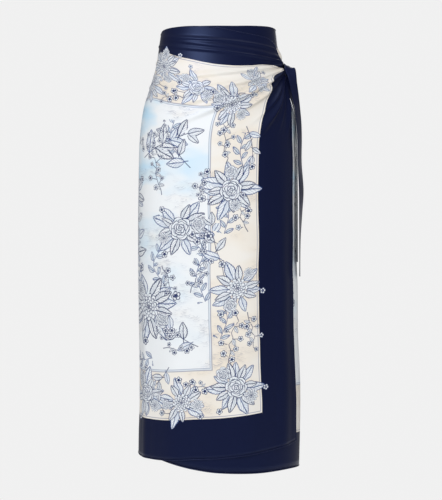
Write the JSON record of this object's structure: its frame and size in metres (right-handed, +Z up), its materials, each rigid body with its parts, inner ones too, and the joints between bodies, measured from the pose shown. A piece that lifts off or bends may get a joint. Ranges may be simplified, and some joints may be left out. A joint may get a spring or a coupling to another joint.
{
  "type": "wrap skirt",
  "caption": "Ankle-length wrap skirt of printed silk twill, drawn across the front and knotted at one hip, hanging hollow as worn.",
  "frame": {"origin": "the middle of the waist ring, 12 mm below the skirt's top edge, where the wearer's waist holds it up", "axes": "+Z up, -Y towards the front, +X towards the side where the ties are knotted"},
  "size_m": [0.3597, 0.2413, 0.9475],
  "materials": {
    "printed_silk": "cream silk twill printed in blues and beige inside a navy border, soft sheen",
    "navy_silk": "navy silk twill, soft sheen"
  },
  "bodies": {
    "root": {"front_wrap": "printed_silk", "under_front": "printed_silk", "back_panel": "printed_silk", "tie_knot": "navy_silk", "tie_tail_long": "navy_silk", "tie_tail_short": "navy_silk", "tie_stub": "navy_silk"}
  },
  "joints": []
}
